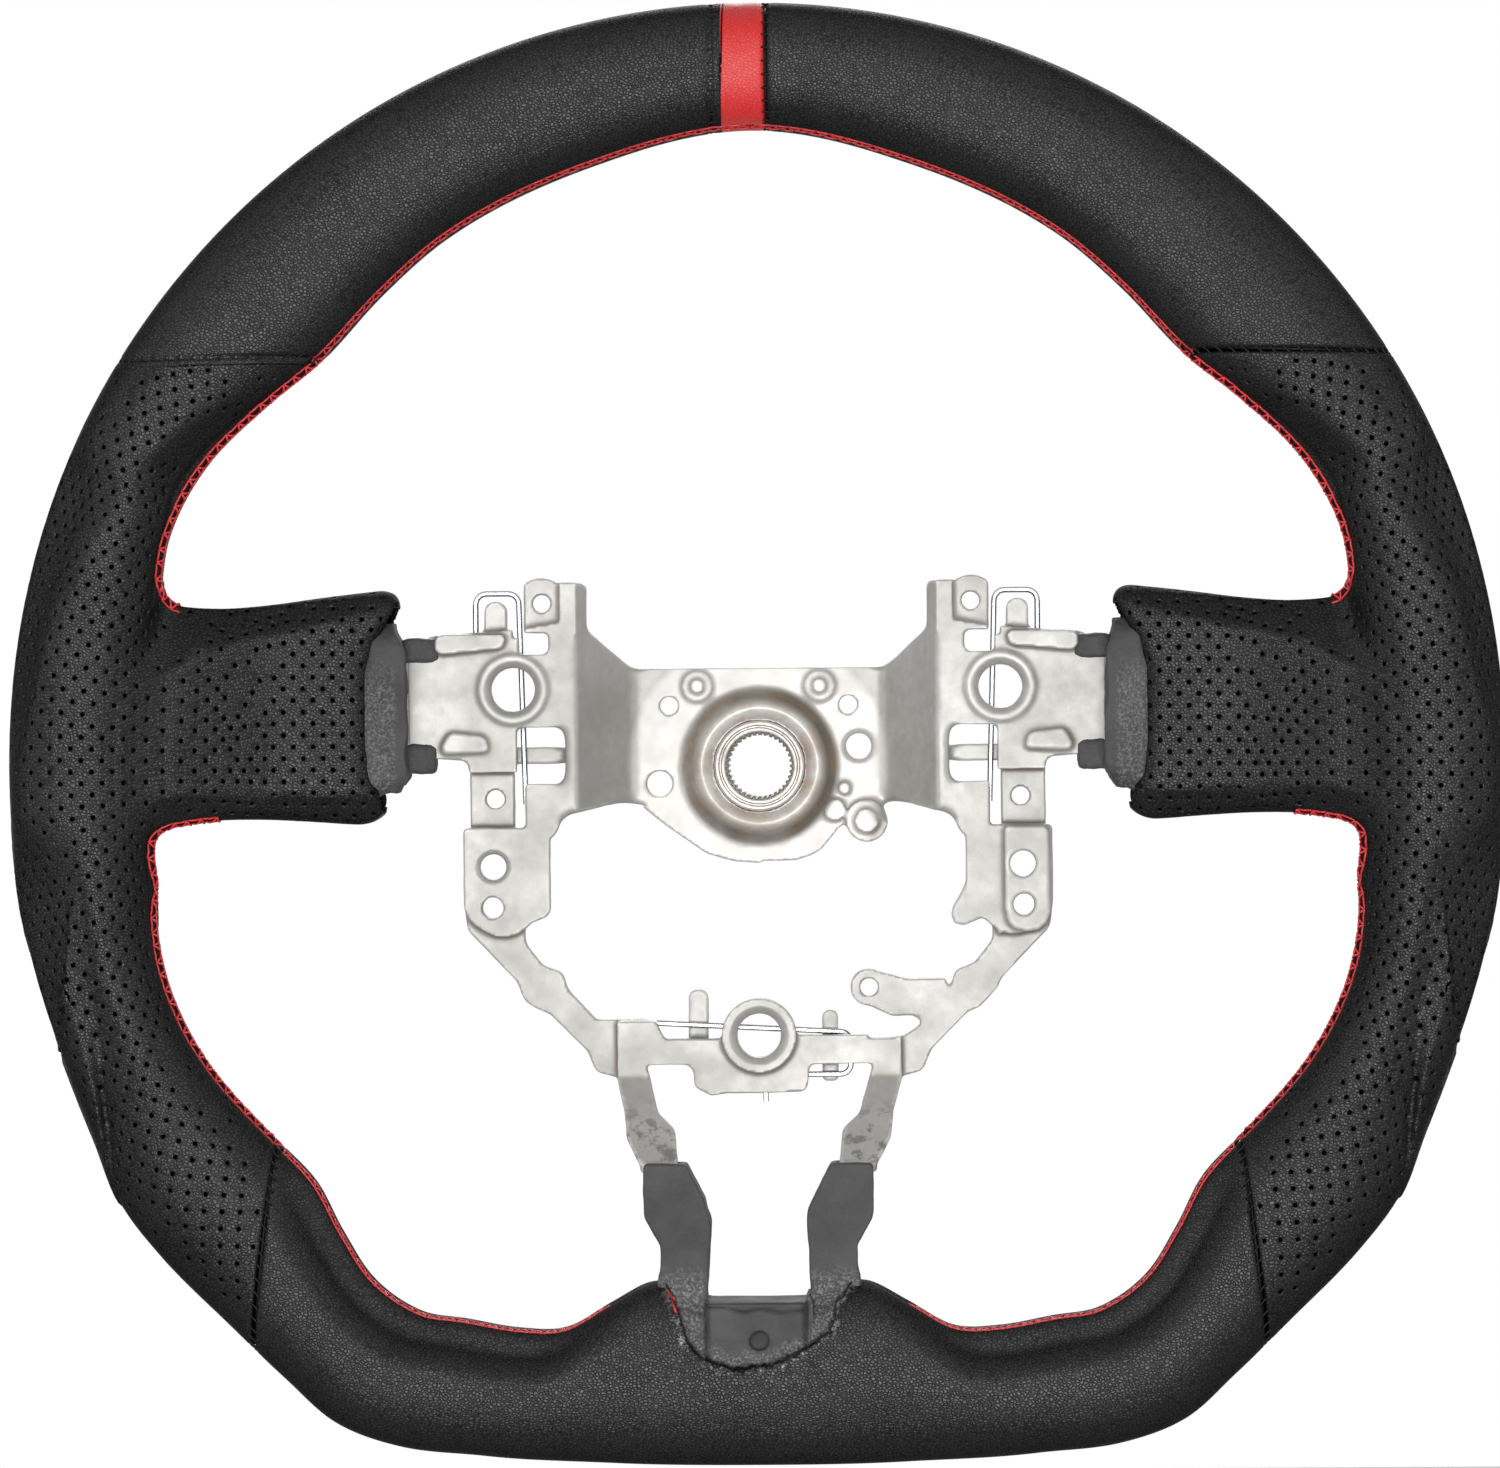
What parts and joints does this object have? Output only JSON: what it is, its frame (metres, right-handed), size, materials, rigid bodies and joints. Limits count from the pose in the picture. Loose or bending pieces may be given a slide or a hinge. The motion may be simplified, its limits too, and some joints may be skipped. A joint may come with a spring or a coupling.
{
  "type": "steering wheel",
  "caption": "Flat-bottom leather-wrapped steering wheel with perforated grips, a coloured band at 12 o'clock and a bare cast centre frame with sprung airbag pin holes.",
  "frame": {"origin": "on the column axis at the seat of the column nut, the front face of the splined bushing", "axes": "+Z towards 12 o'clock, -Y towards the driver along the column axis, +X to the right as the driver sees it"},
  "size_m": [0.3652, 0.0796, 0.357],
  "materials": {
    "cast_metal": "satin as-cast light metal, warm grey",
    "rod_metal": "drawn rod",
    "bushing_steel": "machined steel with light rust",
    "foam": "matt dark grey polyurethane foam skin",
    "smooth_leather": "fine-grained black leather",
    "perforated_leather": "perforated black leather",
    "red_leather": "fine-grained red leather",
    "red_thread": "waxed red thread",
    "black_thread": "waxed black thread",
    "zinc_wire": "zinc-plated spring wire"
  },
  "bodies": {
    "wheel": {"armature": "cast_metal", "rim_core": "rod_metal", "spline_bushing": "bushing_steel", "foam_overmould": "foam", "top_left_leather": "smooth_leather", "top_right_leather": "smooth_leather", "centre_stripe": "red_leather", "left_grip_leather": "perforated_leather", "right_grip_leather": "perforated_leather", "bottom_leather": "smooth_leather", "left_stripe_seam": "black_thread", "right_stripe_seam": "black_thread", "left_upper_seam": "black_thread", "right_upper_seam": "black_thread", "left_lower_seam": "black_thread", "right_lower_seam": "black_thread", "upper_lacing": "red_thread", "left_lower_lacing": "red_thread", "right_lower_lacing": "red_thread", "left_spoke_lacing": "black_thread", "right_spoke_lacing": "black_thread"},
    "airbag_spring_left_body": {"airbag_spring_left": "zinc_wire"},
    "airbag_spring_right_body": {"airbag_spring_right": "zinc_wire"},
    "airbag_spring_lower_body": {"airbag_spring_lower": "zinc_wire"}
  },
  "joints": [
    {"name": "airbag_spring_left_flex", "type": "hinge", "parent": "wheel", "child": "airbag_spring_left_body", "pos_m": [-0.06415, -0.0219, 0.039], "axis": [0, -1, 0], "range_deg": [0, 6], "stiffness_Nm_per_rad": 2},
    {"name": "airbag_spring_right_flex", "type": "hinge", "parent": "wheel", "child": "airbag_spring_right_body", "pos_m": [0.06415, -0.0219, 0.039], "axis": [0, 1, 0], "range_deg": [0, 6], "stiffness_Nm_per_rad": 2},
    {"name": "airbag_spring_lower_flex", "type": "hinge", "parent": "wheel", "child": "airbag_spring_lower_body", "pos_m": [0.02, -0.0219, -0.071], "axis": [0, 1, 0], "range_deg": [0, 6], "stiffness_Nm_per_rad": 2}
  ]
}
